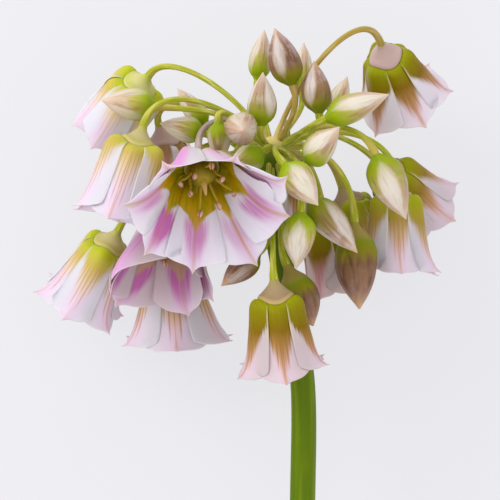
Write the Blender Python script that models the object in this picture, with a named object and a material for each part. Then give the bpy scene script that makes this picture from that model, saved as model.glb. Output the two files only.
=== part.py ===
"""A cut stem of sicilian honey garlic, lying on a table.

One green scape ends in a knob, from which thin pedicels arch out to fourteen open bells and
twenty-four buds. Each bell is a ring of tepals in two layers, the outer ones lapped over the
inner ones, round a heart: the swollen receptacle with its ovary, style and stamens.

Places are given as the plant grows, upright, in millimetres from the knob: right, front, up.
The whole plant hangs from one empty, which lays it on its back, so that its front looks up.
World units are metres, with +Z up and +Y from the cut end towards the head.
"""

import math
from collections import namedtuple

import bmesh
import bpy
from mathutils import Matrix, Vector

MM = 0.001
GAP = 0.3  # the joint between a pedicel and its flower, or between a heart and its tepals

# The scape.
STEM_CUT = 200.0  # from the knob down to the cut end
STEM_RADIUS = 2.65
STEM_SIDES = 14
KNOB_RADIUS = 3.3
KNOB_HEIGHT = 3.0
KNOB_TOP = 0.45  # the radius of its flat top, as a share of its own
KNOB_SWELL = 5.0  # how far down the scape the knob's swelling reaches
STEM_TAPER = 0.35  # how much thinner the scape is under its knob
TAPER_LENGTH = 60.0
HEAD_HEIGHT = 38.0  # of the knob over the table, once the plant lies down
STEM_LINE = (  # right, front, up: the slight bend of the scape under its head
    (0.0, 0.0, 0.0),
    (-0.3, 0.0, -9.6),
    (1.4, 0.0, -19.6),
    (3.4, 0.0, -29.6),
    (5.3, 0.0, -39.6),
    (6.3, 0.0, -51.0),
    (6.0, 0.0, -75.0),
    (5.2, 0.0, -130.0),
    (5.5, 0.0, -STEM_CUT),
)

# The pedicels.
PEDICEL_RADIUS = 0.55
PEDICEL_END_RADIUS = 0.85  # they swell towards the flower
PEDICEL_SWELL = 0.7  # the share of the swelling before the straight end
PEDICEL_NECK = 0.8  # a straight end
PEDICEL_START = 0.5  # from the middle of the knob
PEDICEL_ARCH = 0.45  # how long a pedicel keeps the way it set out, as a share of its reach
PEDICEL_SIDES = 5
PEDICEL_STEPS = 6

# The bells.
TEPAL_THICK = 0.6
TEPAL_NOTCH = 0.2  # how much shorter a tepal is at its edges than at its point
TEPAL_LAYER = 0.28  # half the step between the two layers
TEPAL_BELLY = 0.5  # how far a tepal's middle stands out at the shoulder
LAP = math.radians(4.0)  # how far an outer tepal laps past its seam
LEDGE = math.radians(0.7)
ACROSS = (-1.0, -0.55, 0.0, 0.55, 1.0)
OUTER_ROWS = (0.0, 0.12, 0.42, 0.75, 1.0)
INNER_ROWS = (1.0, 0.75, 0.42, 0.0)
RECEPTACLE = 4.0  # from the pedicel to the roots of the tepals
RECEPTACLE_RADIUS = 4.0
THROAT = 3.4  # radius of the ring of tepal roots
SHOULDER = 0.16  # the share of a tepal that turns from the throat into the bell
FLARE = 0.58  # where the bell begins to flare
FLARE_BEND = 1.3  # over 1, the flare comes late
ROOT_SLOPE = 82.0  # degrees off the bell's axis, where a tepal leaves the receptacle

# The hearts.
HEART_SIDES = 8
RECEPTACLE_WAIST = (0.68, 0.5)  # shares of its radius and of its height
RECEPTACLE_EDGE = 0.35  # from its widest ring up to its flat top
ROOT_GAP = 0.1  # its flat top lies this much lower than the roots of the tepals
OVARY_RADIUS = 3.0
OVARY_HEIGHT = 3.6
OVARY_WAIST = 0.4  # where it begins to narrow, as a share of its height
OVARY_TOP = 0.73  # its radius at the top, as a share of its own
STYLE_FOOT = (0.4, 5.0)  # radius, and height over the roots of the tepals
STYLE_HEIGHT = 8.6

# The stamens, as the flower's own radius and height.
FILAMENT_FOOT = (1.9, 5.2)
FILAMENT_RADIUS = 0.45
ANTHER_RADIUS = 0.6
ANTHER_HEIGHT = 11.6
ANTHER_TIP = 12.6
ANTHER_REACH = 3.0
OPEN_REACH = 1.6  # how much further out the anthers stand in a bell of WIDE_SPREAD
WIDE_SPREAD = 20.0
WIDEST = 1.6  # past this many times WIDE_SPREAD they stand no further out

# The buds.
BUD_CONE = 1.3  # from the pedicel to the body, where a bud has no receptacle
BUD_CONE_WIDTH = 0.62  # its end, as a share of the bud's radius
OLD_CONE_WIDTH = 0.9
BUD_ROWS = ((0.16, 0.98), (0.42, 0.97), (0.74, 0.56))  # shares of the length and of the radius
BUD_EDGE = math.radians(44)  # from the middle of an outer tepal to its edge
BUD_KEEL = 1.12  # the keel, the edge and the inner tepals, as shares of the radius
BUD_RAISED = 1.05
BUD_SUNK = 0.9

Bell = namedtuple("Bell", "name seat faces tepal spread curl roll count rise hook")
Bud = namedtuple("Bud", "name seat faces length radius roll rise hook")

# seat: where the pedicel ends, in mm. faces: where the flower looks, also right, front, up.
# tepal: its length. spread and curl: its slope in the middle and at the tip, in degrees.
# roll: 0 turns an outer tepal to the front. rise: how steeply the pedicel sets out, in degrees.
# hook: how long the pedicel already points where the flower looks, in mm.
BELLS = (
    Bell("bell_01", (-14.3, 9.0, -1.0), (0.12, 0.75, -0.65), 19.6, 34, 58, 24, 8, 70, 16),
    Bell("bell_02", (-25.3, 9.0, 4.5), (-0.30, 0.04, -0.95), 16.8, 14, 28, 60, 6, 50, 10),
    Bell("bell_03", (-25.1, -9.0, 16.1), (-0.56, -0.58, -0.59), 16.5, 12, 40, 20, 6, 62, 8),
    Bell("bell_04", (-19.9, -8.6, -10.1), (-0.10, 0.50, -0.86), 18.6, 15, 46, 23, 6, 10, 6),
    Bell("bell_05", (-31.6, -12.0, -15.6), (-0.46, -0.35, -0.82), 17.6, 10, 48, 2, 6, 30, 8),
    Bell("bell_06", (-21.0, -16.8, -20.0), (0.07, -0.10, -0.99), 18.8, 18, 54, 60, 6, 5, 8),
    Bell("bell_07", (0.2, 16.2, -25.2), (0.10, -0.22, -0.97), 16.6, 9, 56, 60, 6, -55, 3),
    Bell("bell_08", (10.4, -13.4, -10.3), (0.15, -0.05, -0.98), 16.5, 3, 20, 30, 6, 20, 8),
    Bell("bell_09", (25.0, -6.3, -5.4), (0.03, 0.0, -1.0), 17.5, 8, 44, 60, 6, 35, 10),
    Bell("bell_10", (22.8, -15.8, -2.0), (0.53, -0.66, -0.50), 16.2, 11, 44, 0, 6, 40, 8),
    Bell("bell_11", (22.5, -10.0, 22.5), (0.30, -0.72, -0.60), 15.8, 18, 46, 35, 6, 74, 14),
    Bell("bell_12", (3.2, -17.0, 3.0), (-0.05, -0.45, -0.89), 16.2, 8, 40, 30, 6, 40, 8),
    Bell("bell_13", (15.0, -23.5, -6.0), (0.36, -0.12, -0.93), 16.2, 8, 42, 0, 6, 20, 8),
    Bell("bell_14", (-23.6, -18.0, 6.5), (0.20, -0.33, -0.92), 17.0, 9, 42, 0, 6, 50, 8),
)
BUDS = (
    Bud("bud_01", (4.0, 4.0, 13.1), (-0.30, 0.05, 0.95), 11.8, 3.1, 30, 50, 5),
    Bud("bud_02", (9.3, 4.0, 7.5), (-0.10, 0.05, 1.0), 10.4, 2.9, 20, 20, 3),
    Bud("bud_03", (-2.3, 10.0, 4.6), (0.04, 0.0, 1.0), 10.5, 2.8, 60, 20, 3),
    Bud("bud_04", (-2.8, -6.0, 14.9), (0.13, -0.1, 0.99), 10.5, 2.3, 0, 70, 5),
    Bud("bud_05", (6.5, -12.0, 12.9), (0.02, -0.1, 1.0), 10.5, 2.2, 0, 40, 5),
    Bud("bud_06", (12.6, -10.0, 7.5), (0.33, -0.1, 0.95), 9.2, 2.2, 0, 30, 5),
    Bud("bud_07", (10.5, 9.0, 6.0), (0.93, 0.10, 0.36), 13.2, 2.8, 90, 25, 4),
    Bud("bud_08", (6.6, 12.0, -2.8), (0.64, 0.30, 0.71), 9.8, 2.9, 20, 10, 2),
    Bud("bud_09", (-6.3, 11.0, 4.3), (0.05, 0.98, -0.12), 10.5, 3.1, 50, 20, 3),
    Bud("bud_10", (2.2, 17.0, -3.3), (0.60, 0.30, -0.74), 10.6, 3.2, 40, 10, 5),
    Bud("bud_11", (5.4, 14.0, -12.3), (-0.08, 0.0, -1.0), 11.0, 3.1, 60, -10, 5),
    Bud("bud_12", (7.3, 10.0, -9.7), (0.66, 0.05, -0.75), 14.0, 3.1, 60, -10, 4),
    Bud("bud_13", (20.3, 8.0, -1.0), (0.42, 0.10, -0.91), 14.0, 3.6, 60, 40, 8),
    Bud("bud_14", (16.4, 3.0, -14.0), (0.05, 0.05, -1.0), 17.4, 4.1, 60, 20, 10),
    Bud("bud_15", (2.8, 6.3, -22.5), (0.40, 0.0, -0.92), 13.2, 3.5, 20, -40, 6),
    Bud("bud_16", (-23.4, 1.5, 9.0), (-0.96, 0.20, 0.10), 10.8, 3.2, 60, 52, 6),
    Bud("bud_17", (-13.8, -2.0, 3.9), (-0.98, 0.0, 0.22), 9.0, 2.6, 0, 20, 3),
    Bud("bud_18", (-13.3, -5.6, 5.8), (-0.62, -0.1, 0.78), 9.6, 2.2, 0, 20, 3),
    Bud("bud_19", (-10.6, 7.0, 5.6), (0.04, -0.25, -0.97), 8.4, 2.3, 0, 45, 4),
    Bud("bud_20", (-1.9, 9.0, -0.2), (-0.85, -0.15, -0.50), 8.8, 2.8, 0, 0, 3),
    Bud("bud_21", (-2.8, 9.7, -20.1), (-0.74, 0.0, -0.67), 9.8, 2.5, 30, -40, 6),
    Bud("bud_22", (-1.9, -13.0, 7.7), (0.0, -0.3, 0.95), 9.0, 2.3, 0, 40, 4),
    Bud("bud_23", (-5.4, -14.0, 3.2), (-0.35, -0.88, 0.30), 9.6, 2.6, 0, 10, 3),
    Bud("bud_24", (-8.0, -15.0, -3.0), (-0.10, -0.25, -0.96), 16.0, 3.9, 30, 20, 8),
)
RESTING = ("bell_13", "bell_14")  # with the cut end, the three points that the plant lies on
OLD_BUDS = ("bud_14", "bud_15", "bud_24")  # these have a bell's receptacle


def clear_scene():
    for thing in list(bpy.data.objects):
        bpy.data.objects.remove(thing)


def grown(place):
    """A place given as right, front, up in mm, in metres in the upright plant's frame."""
    right, front, up = place
    return Vector((right, -front, up)) * MM


def make_material(name, colour, roughness):
    material = bpy.data.materials.new(name)
    material.use_nodes = True
    shader = material.node_tree.nodes["Principled BSDF"]
    shader.inputs["Base Color"].default_value = (*colour, 1.0)
    shader.inputs["Roughness"].default_value = roughness
    shader.inputs["Metallic"].default_value = 0.0
    return material


def new_object(name, mesh, material):
    thing = bpy.data.objects.new(name, mesh)
    bpy.context.scene.collection.objects.link(thing)
    thing.data.materials.append(material)
    return thing


def loft(name, rings, cyclic=False):
    """A closed skin through rings of points in mm. A ring of one point is a pole."""
    shape = bmesh.new()
    made = [[shape.verts.new(Vector(p) * MM) for p in ring] for ring in rings]
    following = made[1:] + made[:1] if cyclic else made[1:]
    for ring, beyond in zip(made, following):
        many = max(len(ring), len(beyond))
        for i in range(many):
            j = (i + 1) % many
            corners = [ring[i % len(ring)], ring[j % len(ring)]]
            corners += [beyond[j % len(beyond)], beyond[i % len(beyond)]]
            shape.faces.new(list(dict.fromkeys(corners)))
    if not cyclic:
        for ring in (made[0], made[-1]):
            if len(ring) > 2:
                shape.faces.new(ring)
    bmesh.ops.recalc_face_normals(shape, faces=shape.faces)
    mesh = bpy.data.meshes.new(name)
    shape.to_mesh(mesh)
    shape.free()
    mesh.shade_smooth()
    mesh.set_sharp_from_angle(angle=math.radians(50))
    return mesh


def circle(radius, height, sides):
    turns = [2 * math.pi * i / sides for i in range(sides)]
    return [(radius * math.cos(a), radius * math.sin(a), height) for a in turns]


def lathe(name, profile, sides):
    """A turned solid from (radius, height) pairs in mm. A radius of 0 is a pole."""
    rings = [circle(r, z, sides) if r else [(0.0, 0.0, z)] for r, z in profile]
    return loft(name, rings)


def fuse(body, extras):
    """Joins the extras to the body by one Boolean union, applies it and removes them."""
    group = bpy.data.collections.new(body.name + "_extras")
    bpy.context.scene.collection.children.link(group)
    for extra in extras:
        group.objects.link(extra)
    join = body.modifiers.new("join", "BOOLEAN")
    join.operation = "UNION"
    join.operand_type = "COLLECTION"
    join.collection = group
    join.solver = "EXACT"
    graph = bpy.context.evaluated_depsgraph_get()
    joined = bpy.data.meshes.new_from_object(body.evaluated_get(graph))
    body.modifiers.remove(join)
    body.data = joined
    for extra in extras:
        bpy.data.objects.remove(extra)
    bpy.data.collections.remove(group)


def flower_matrix(seat, faces, roll):
    """The flower's own frame: its origin at the seat, +Z where it looks, +X to the front."""
    axis = grown(faces).normalized()
    front = Vector((0.0, -1.0, 0.0))
    side = (front - axis * front.dot(axis)).normalized()
    turned = Matrix.Rotation(math.radians(roll), 3, axis) @ side
    basis = Matrix((turned, axis.cross(turned), axis)).transposed()
    return Matrix.Translation(grown(seat)) @ basis.to_4x4()


# Open bells.


def tepal_slope(share, spread, curl):
    """The tepal's slope off the bell's axis, in radians, at a share of its length."""
    if share < SHOULDER:
        turn = share / SHOULDER
        ease = turn * turn * (3 - 2 * turn)
        degrees = ROOT_SLOPE + (spread - ROOT_SLOPE) * ease
    elif share < FLARE:
        degrees = spread
    else:
        degrees = spread + (curl - spread) * ((share - FLARE) / (1 - FLARE)) ** FLARE_BEND
    return math.radians(degrees)


def meridian(bell, share, steps=40):
    """(radius, height, slope) in mm along a tepal's middle line, at a share of its length."""
    radius, height = THROAT, RECEPTACLE + GAP
    step = share * bell.tepal / steps
    for i in range(steps):
        slope = tepal_slope(share * (i + 0.5) / steps, bell.spread, bell.curl)
        radius += step * math.sin(slope)
        height += step * math.cos(slope)
    return radius, height, tepal_slope(share, bell.spread, bell.curl)


def tepal_point(bell, number, across, row, inside):
    """A point of one tepal. across runs from -1 to 1 between its seams, row from root to rim."""
    is_outer = number % 2 == 0
    half = math.pi / bell.count
    half += LAP if is_outer != inside else -LAP
    half -= LEDGE / 2
    angle = 2 * math.pi * number / bell.count + across * half
    share = row * (1 - TEPAL_NOTCH * abs(across) ** 1.5)
    radius, height, slope = meridian(bell, share)
    belly = TEPAL_BELLY * math.sin(math.pi * min(row / 0.6, 1.0)) * (1 - across**2)
    radius += belly + (TEPAL_LAYER if is_outer else -TEPAL_LAYER) * min(row / 0.1, 1.0)
    if inside:
        radius -= TEPAL_THICK * math.cos(slope)
        height += TEPAL_THICK * math.sin(slope)
    return (radius * math.cos(angle), radius * math.sin(angle), height)


def tepal_ring(bell, row, inside):
    numbers = range(bell.count)
    return [tepal_point(bell, n, a, row, inside) for n in numbers for a in ACROSS]


def make_tepals(bell, material):
    """The bell's tepals, fused at their roots and seams as one closed skirt with an open throat."""
    rings = [tepal_ring(bell, row, False) for row in OUTER_ROWS]
    rings += [tepal_ring(bell, row, True) for row in INNER_ROWS]
    name = bell.name + "_tepals"
    thing = new_object(name, loft(name, rings, cyclic=True), material)
    thing.matrix_world = flower_matrix(bell.seat, bell.faces, bell.roll)
    return thing


def stamen(bell, number):
    """A filament that leaves the foot of the ovary, with its anther at the end."""
    angle = 2 * math.pi * (number + 0.5) / bell.count
    reach = ANTHER_REACH + OPEN_REACH * min(bell.spread / WIDE_SPREAD, WIDEST)
    line = ((*FILAMENT_FOOT, FILAMENT_RADIUS), (reach, ANTHER_HEIGHT, ANTHER_RADIUS))
    rings = []
    for radius, height, thick in line:
        centre = Vector((radius * math.cos(angle), radius * math.sin(angle), height))
        corners = [angle + 2 * math.pi * k / 3 for k in range(3)]
        rings.append([centre + thick * Vector((math.cos(c), math.sin(c), 0)) for c in corners])
    rings.append([(reach * math.cos(angle), reach * math.sin(angle), ANTHER_TIP)])
    return loft("stamen", rings)


def make_heart(bell, material):
    """Receptacle, ovary and style in one turned body, with the stamens fused to its foot."""
    waist, waist_height = RECEPTACLE_WAIST
    style_radius, style_foot = STYLE_FOOT
    profile = (
        (PEDICEL_END_RADIUS, GAP),
        (waist * RECEPTACLE_RADIUS, waist_height * RECEPTACLE),
        (RECEPTACLE_RADIUS, RECEPTACLE - RECEPTACLE_EDGE),
        (OVARY_RADIUS, RECEPTACLE - ROOT_GAP),
        (OVARY_RADIUS, RECEPTACLE + OVARY_WAIST * OVARY_HEIGHT),
        (OVARY_TOP * OVARY_RADIUS, RECEPTACLE + OVARY_HEIGHT),
        (style_radius, RECEPTACLE + style_foot),
        (0.0, RECEPTACLE + STYLE_HEIGHT),
    )
    name = bell.name + "_heart"
    heart = new_object(name, lathe(name, profile, HEART_SIDES), material)
    stamens = [new_object(f"stamen_{n}", stamen(bell, n), material) for n in range(bell.count)]
    fuse(heart, stamens)
    heart.matrix_world = flower_matrix(bell.seat, bell.faces, bell.roll)
    return heart


# Buds.


def bud_profile(bud):
    """(radius, height) pairs in mm: the receptacle's two, then the body's."""
    old = bud.name in OLD_BUDS
    cone = RECEPTACLE if old else BUD_CONE
    cone_radius = (OLD_CONE_WIDTH if old else BUD_CONE_WIDTH) * bud.radius
    start = (PEDICEL_END_RADIUS, GAP), (cone_radius, cone)
    body = bud.length - cone
    return start + tuple((width * bud.radius, cone + up * body) for up, width in BUD_ROWS)


def make_bud(bud, material):
    """Three outer tepals, keeled and raised, closed over the inner ones that show between."""
    corners = (
        (-BUD_EDGE, BUD_RAISED),
        (0.0, BUD_KEEL),
        (BUD_EDGE, BUD_RAISED),
        (math.pi / 3, BUD_SUNK),
    )
    rings = []
    for level, (radius, height) in enumerate(bud_profile(bud)):
        ring = []
        for k in range(3):
            for turn, share in corners:
                reach = radius * (share if level else 1.0)
                angle = 2 * math.pi * k / 3 + turn
                ring.append((reach * math.cos(angle), reach * math.sin(angle), height))
        rings.append(ring)
    rings.append([(0.0, 0.0, bud.length)])
    thing = new_object(bud.name, loft(bud.name, rings), material)
    thing.matrix_world = flower_matrix(bud.seat, bud.faces, bud.roll)
    return thing


# The scape and the pedicels.


def bezier(a, b, c, d, t):
    s = 1 - t
    return a * s**3 + b * (3 * s * s * t) + c * (3 * s * t * t) + d * t**3


def tube(name, centres, radii, sides):
    """A tube through the centres, whose rings turn with its path and don't twist."""
    rings = []
    side = Vector((1.0, 0.0, 0.0))
    for i, (centre, radius) in enumerate(zip(centres, radii)):
        ahead = centres[min(i + 1, len(centres) - 1)] - centres[max(i - 1, 0)]
        ahead.normalize()
        side = (side - ahead * side.dot(ahead)).normalized()
        other = ahead.cross(side)
        turns = [2 * math.pi * k / sides for k in range(sides)]
        rings.append([centre + radius * (side * math.cos(a) + other * math.sin(a)) for a in turns])
    return loft(name, rings)


def through(points, steps):
    """Points on a smooth curve through the given ones, a few to each stretch."""
    ends = [points[0] * 2 - points[1], *points, points[-1] * 2 - points[-2]]
    found = []
    for a, b, c, d in zip(ends, ends[1:], ends[2:], ends[3:]):
        for k in range(steps):
            t = k / steps
            found.append(bezier(b, b + (c - a) / 6, c - (d - b) / 6, c, t))
    return [*found, points[-1]]


def make_pedicel(flower, material):
    """The stalk from the knob to the flower's seat, arching up and over."""
    right, front, up = flower.seat
    seat = Vector((right, -front, up))
    axis = (grown(flower.faces) / MM).normalized()
    rise = math.radians(flower.rise)
    level = Vector((right, -front, 0.0)).normalized()
    setting_out = level * math.cos(rise) + Vector((0.0, 0.0, math.sin(rise)))
    start = setting_out * PEDICEL_START
    leave = start + setting_out * (PEDICEL_ARCH * seat.length)
    arrive = seat - axis * flower.hook
    neck = seat - axis * PEDICEL_NECK
    times = [k / PEDICEL_STEPS for k in range(PEDICEL_STEPS + 1)]
    centres = [bezier(start, leave, arrive, neck, t) for t in times]
    swell = PEDICEL_END_RADIUS - PEDICEL_RADIUS
    radii = [PEDICEL_RADIUS + PEDICEL_SWELL * swell * t**3 for t in times]
    centres.append(seat)
    radii.append(PEDICEL_END_RADIUS)
    name = flower.name + "_pedicel"
    return new_object(name, tube(name, centres, radii, PEDICEL_SIDES), material)


def make_stem(material):
    """The scape, from its flat cut end to the knob that the pedicels grow from."""
    points = [Vector((right, -front, up)) for right, front, up in reversed(STEM_LINE)]
    centres = through(points, 2)
    top = Vector((0.0, 0.0, 1.0))
    centres += [top * 0.6 * KNOB_HEIGHT, top * KNOB_HEIGHT]
    radii = []
    for centre in centres:
        near = math.exp(-((centre.z / KNOB_SWELL) ** 2))
        thin = STEM_RADIUS - STEM_TAPER * max(0.0, 1 + min(centre.z, 0.0) / TAPER_LENGTH)
        radii.append(thin + (KNOB_RADIUS - thin) * near)
    radii[-1] = KNOB_TOP * KNOB_RADIUS
    return new_object("scape", tube("scape", centres, radii, STEM_SIDES), material)


# Laying the plant down.


def lying_turn():
    """Turns the upright plant onto its back, with the head held up by its lowest bells."""
    lean = math.asin((HEAD_HEIGHT - STEM_RADIUS) / STEM_CUT)
    return Matrix.Rotation(lean - math.pi / 2, 4, "X")


def lowest(thing, turn):
    place = turn @ thing.matrix_world
    return min((place @ v.co).z for v in thing.data.vertices)


def rest_on_table(bell, turn, floor, material):
    """The bell moved to the back or front until its lowest tip is level with the cut end."""
    trial = make_tepals(bell, material)
    up_from_floor = lowest(trial, turn) - floor
    bpy.data.objects.remove(trial)
    front_lift = (turn.to_3x3() @ Vector((0.0, -1.0, 0.0))).z
    right, front, up = bell.seat
    return bell._replace(seat=(right, front - up_from_floor / MM / front_lift, up))


def lay_down(things, turn, floor):
    """Hangs everything from one empty, with the plant's box centred over the origin."""
    corners = [turn @ t.matrix_world @ v.co for t in things for v in t.data.vertices]
    middle = [(min(c[i] for c in corners) + max(c[i] for c in corners)) / 2 for i in (0, 1)]
    plant = bpy.data.objects.new("plant", None)
    bpy.context.scene.collection.objects.link(plant)
    plant.matrix_world = Matrix.Translation((-middle[0], -middle[1], -floor)) @ turn
    for thing in things:
        thing.parent = plant


def main():
    clear_scene()
    green = make_material("stem_green", (0.27, 0.38, 0.03), 0.45)
    petal = make_material("tepal_pink_white", (0.80, 0.66, 0.76), 0.5)
    heart = make_material("heart_mauve_green", (0.52, 0.42, 0.28), 0.55)
    bud_skin = make_material("bud_cream_brown", (0.55, 0.42, 0.33), 0.5)

    scape = make_stem(green)
    turn = lying_turn()
    floor = lowest(scape, turn)
    bells = [
        rest_on_table(b, turn, floor, petal) if b.name in RESTING else b for b in BELLS
    ]
    things = [scape]
    for bell in bells:
        things += [make_tepals(bell, petal), make_heart(bell, heart)]
    things += [make_bud(bud, bud_skin) for bud in BUDS]
    fuse(scape, [make_pedicel(flower, green) for flower in (*bells, *BUDS)])
    lay_down(things, turn, floor)


main()
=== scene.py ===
"""The looks of a cut stem of sicilian honey garlic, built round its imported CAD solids.

Lengths are in millimetres in the upright plant's frame: right, front and up from the knob that
the pedicels grow from. One matrix, PLANT, lays the plant down in the frame, in metres.
"""

import math
from collections import namedtuple

import bpy
import numpy as np
from mathutils import Matrix, Vector


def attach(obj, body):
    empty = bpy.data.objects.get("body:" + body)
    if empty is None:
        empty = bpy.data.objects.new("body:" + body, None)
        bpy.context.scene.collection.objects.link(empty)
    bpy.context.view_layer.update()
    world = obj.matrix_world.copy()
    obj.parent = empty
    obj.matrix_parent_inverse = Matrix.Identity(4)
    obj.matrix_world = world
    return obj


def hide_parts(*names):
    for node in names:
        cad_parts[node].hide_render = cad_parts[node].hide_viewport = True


bl_info = {
    "name": "Sicilian Honey Garlic",
    "version": (1, 0, 0),
    "blender": (4, 5, 0),
    "location": "View3D > Sidebar > Honey Garlic",
    "description": "Builds a cut stem of sicilian honey garlic with open bells and buds",
    "category": "Object",
}

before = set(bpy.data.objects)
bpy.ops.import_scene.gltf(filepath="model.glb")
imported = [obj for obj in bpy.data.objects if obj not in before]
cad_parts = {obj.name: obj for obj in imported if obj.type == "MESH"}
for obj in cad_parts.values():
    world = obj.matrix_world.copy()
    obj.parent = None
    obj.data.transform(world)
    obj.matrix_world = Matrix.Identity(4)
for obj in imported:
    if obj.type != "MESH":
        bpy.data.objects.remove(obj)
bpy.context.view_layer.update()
BODY = "root"

MM = 0.001
GAP = 0.3  # the joint that the solids leave between a pedicel and its flower

# The scape and how it lies.
STEM_CUT = 200.0
STEM_RADIUS = 2.65
HEAD_HEIGHT = 38.0
# How far right of the knob the scape stands, and how high, from the knob down.
STEM_SWAY = (
    (0.0, 0.0), (-0.3, -9.6), (1.4, -19.6), (3.4, -29.6), (5.3, -39.6),
    (6.3, -51.0), (6.0, -75.0), (5.2, -130.0), (5.5, -STEM_CUT),
)

# The bells.
RECEPTACLE = 4.0  # from the pedicel to the roots of the tepals
THROAT = 3.4  # radius of the ring of tepal roots
FLARE = 0.58  # where the bell begins to flare
ROOT_SLOPE = 82.0  # degrees off the bell's axis, where a tepal leaves the receptacle

# The camera and the lamps.
PICTURE_CENTRE = (-4.4, -19.6)  # right and up of the middle of the picture
CAMERA_DISTANCE = 400.0
CAMERA_LENS = 144.0
CAMERA_SENSOR = 36.0
LAMP_SIDE = 420.0
WINDOW_PLACE = (-430.0, 330.0, 330.0)
FILL_PLACE = (60.0, 520.0, -120.0)

BELL = "name faces tepal spread curl roll count rise hook tone blush fade round soft"
Bell = namedtuple("Bell", BELL, defaults=(0.0, 0.16, 0.0))
Bud = namedtuple("Bud", "name faces length radius roll rise hook tone pale turn", defaults=(0,))
TEPAL = "turn length spread curl width fold lip blush fade cup droop notch"
Tepal = namedtuple("Tepal", TEPAL, defaults=(0.0, 0, 1.0))

# faces: where the flower looks, as right, front, up. tepal: its length. spread and curl: its
# slope in the middle and at the tip, in degrees. roll: 0 turns an outer tepal to the front.
# rise: how steeply the pedicel sets out. hook: how long it already points where the flower
# looks. tone: from 0, a fresh green base, to 1, a brown and mauve one. blush: how deep the pink
# is. fade: how much sooner than usual the green gives way outside, as a share of the tepal.
# round: the share of a tepal that turns from the throat into the bell. soft: how faint its
# stripes are.
BELLS = (
    Bell("bell_01", (0.12, 0.75, -0.65), 19.6, 34, 58, 24, 8, 70, 16, 0.5, 0.9),
    Bell("bell_02", (-0.30, 0.04, -0.95), 18.0, 4, 40, 60, 6, 50, 10, 0.3, 0.6, 0.14, 0.24, 0.3),
    Bell("bell_03", (-0.56, -0.58, -0.59), 16.5, 3, 34, 0, 6, 62, 8, 0.05, 0.4, 0.1, 0.27, 0.8),
    Bell("bell_04", (-0.10, 0.50, -0.86), 18.6, 17, 46, 23, 6, 10, 6, 0.8, 1.1),
    Bell("bell_05", (-0.46, -0.35, -0.82), 17.8, 10, 50, 2, 6, 30, 8, 0.28, 0.6, 0.10, 0.18, 0.2),
    Bell("bell_06", (0.07, -0.10, -0.99), 19.2, 19, 58, 60, 6, 5, 8, 0.45, 0.7, 0.06),
    Bell("bell_07", (0.10, -0.22, -0.97), 16.6, 9, 56, 60, 6, -55, 3, 0.82, 0.4),
    Bell("bell_08", (0.15, -0.05, -0.98), 16.5, 3, 20, 30, 6, 20, 8, 0.9, 0.8, -0.08, 0.16, 0.8),
    Bell("bell_09", (0.03, 0.0, -1.0), 17.5, 8, 44, 60, 6, 35, 10, 0.55, 0.5, 0.04, 0.16, 0.6),
    Bell("bell_10", (0.53, -0.66, -0.50), 16.2, 11, 44, 42, 6, 40, 8, 0.7, 0.6, 0.04, 0.18, 0.8),
    Bell("bell_11", (0.30, -0.72, -0.60), 15.8, 18, 46, 57, 6, 74, 14, 1.0, 0.6, 0.0, 0.16, 0.5),
    Bell("bell_12", (-0.05, -0.45, -0.89), 16.2, 8, 40, 30, 6, 40, 8, 0.7, 0.5),
    Bell("bell_13", (0.36, -0.12, -0.93), 16.2, 8, 42, 0, 6, 20, 8, 0.5, 0.5, 0.04),
    Bell("bell_14", (0.20, -0.33, -0.92), 17.0, 9, 42, 0, 6, 50, 8, 1.0, 0.3, 0.34),
)
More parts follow.
